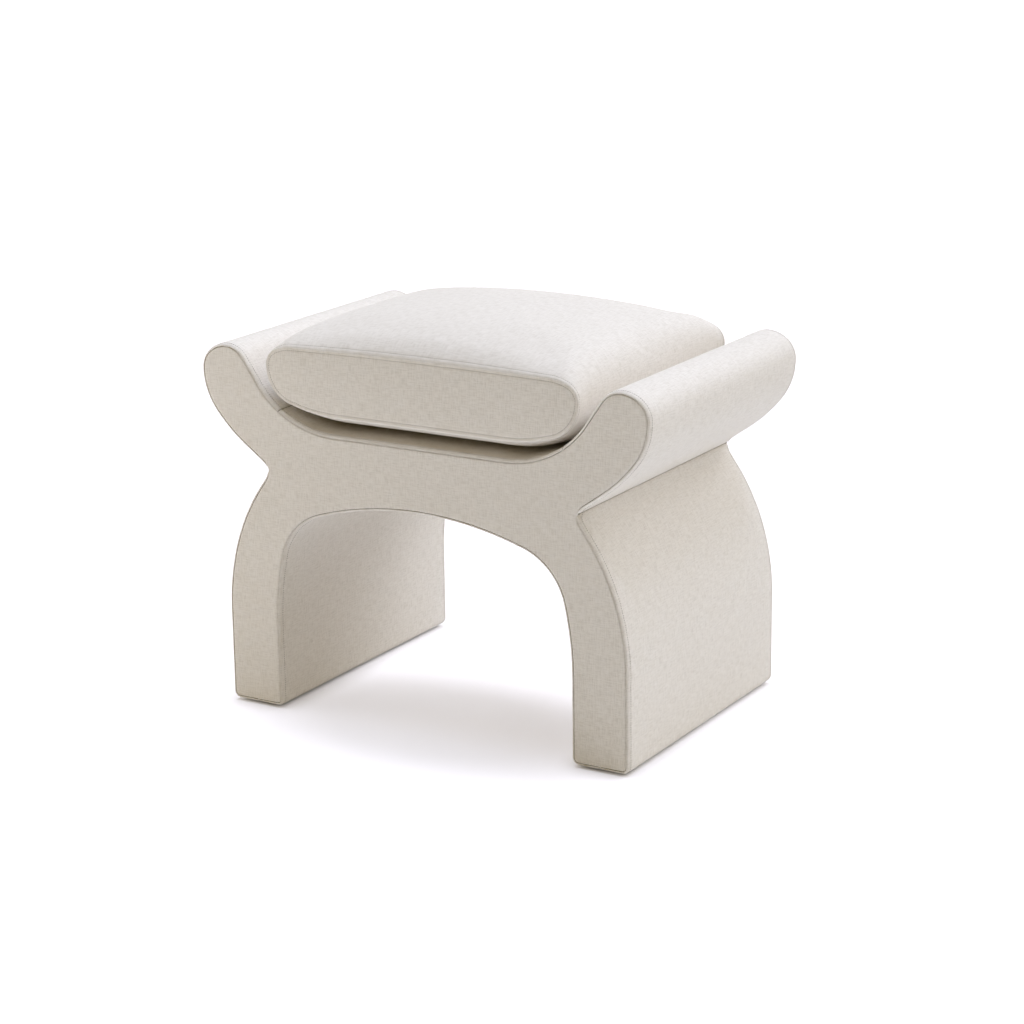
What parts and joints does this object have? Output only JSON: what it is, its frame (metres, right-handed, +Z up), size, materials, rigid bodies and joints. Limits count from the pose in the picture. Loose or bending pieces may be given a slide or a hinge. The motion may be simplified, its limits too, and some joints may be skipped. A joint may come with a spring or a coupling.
{
  "type": "footstool",
  "caption": "Upholstered arch footstool in ivory cloth with scroll arms, a trough seat and a loose lift-off boxed cushion with a zip.",
  "frame": {"origin": "on the floor, below the middle of the stool", "axes": "+X across the width to the right arm, +Y to the rear, +Z up; the front face is towards -Y"},
  "size_m": [0.65, 0.4, 0.522],
  "materials": {
    "linen_cloth": "plain weave, matt",
    "foam": "open cell",
    "plywood": "sawn birch plywood",
    "pine": "planed softwood",
    "bent_board": "bent thin board",
    "dust_cloth": "non-woven",
    "glide_nylon": "moulded nylon",
    "steel": "zinc plated",
    "zip_tape": "woven tape",
    "zip_coil": "nylon coil",
    "zip_metal": "nickel plated"
  },
  "bodies": {
    "stool": {"arch_cover": "linen_cloth", "arch_foam": "foam", "arch_skin": "bent_board", "arm_batten_left": "pine", "arm_batten_right": "pine", "arm_cover_left": "linen_cloth", "arm_cover_right": "linen_cloth", "arm_foam_left": "foam", "arm_foam_right": "foam", "arm_skin_left": "bent_board", "arm_skin_right": "bent_board", "centre_rib": "plywood", "dust_cover_left": "dust_cloth", "dust_cover_right": "dust_cloth", "foot_board_left": "pine", "foot_board_right": "pine", "foot_screws": "steel", "front_face_foam": "foam", "front_panel_cover": "linen_cloth", "front_rib": "plywood", "glide_front_left": "glide_nylon", "glide_front_right": "glide_nylon", "glide_nails": "steel", "glide_rear_left": "glide_nylon", "glide_rear_right": "glide_nylon", "leg_batten_left": "pine", "leg_batten_right": "pine", "leg_cover_left": "linen_cloth", "leg_cover_right": "linen_cloth", "leg_foam_left": "foam", "leg_foam_right": "foam", "leg_skin_left": "bent_board", "leg_skin_right": "bent_board", "rear_face_foam": "foam", "rear_panel_cover": "linen_cloth", "rear_rib": "plywood", "seat_batten_centre": "pine", "seat_batten_left": "pine", "seat_batten_right": "pine", "seat_cover": "linen_cloth", "seat_foam": "foam", "seat_skin": "bent_board", "waist_batten_left": "pine", "waist_batten_right": "pine"},
    "cushion": {"cushion_core": "foam", "cushion_front_panel": "linen_cloth", "cushion_rear_panel": "linen_cloth", "cushion_wrap": "linen_cloth", "zip_coil": "zip_coil", "zip_tape": "zip_tape"},
    "zip_slider": {"zip_slider": "zip_metal"},
    "zip_pull": {"zip_pull": "zip_metal"}
  },
  "joints": [
    {"name": "cushion_lift", "type": "slide", "parent": "stool", "child": "cushion", "axis": [0, 0, 1], "range_m": [0, 0.25]},
    {"name": "zip_slide", "type": "slide", "parent": "cushion", "child": "zip_slider", "axis": [-1, 0, 0], "range_m": [0, 0.36]},
    {"name": "pull_hinge", "type": "hinge", "parent": "zip_slider", "child": "zip_pull", "pos_m": [0.18, 0.19485, 0.4435], "axis": [0, 0, -1], "range_deg": [0, 180]}
  ]
}
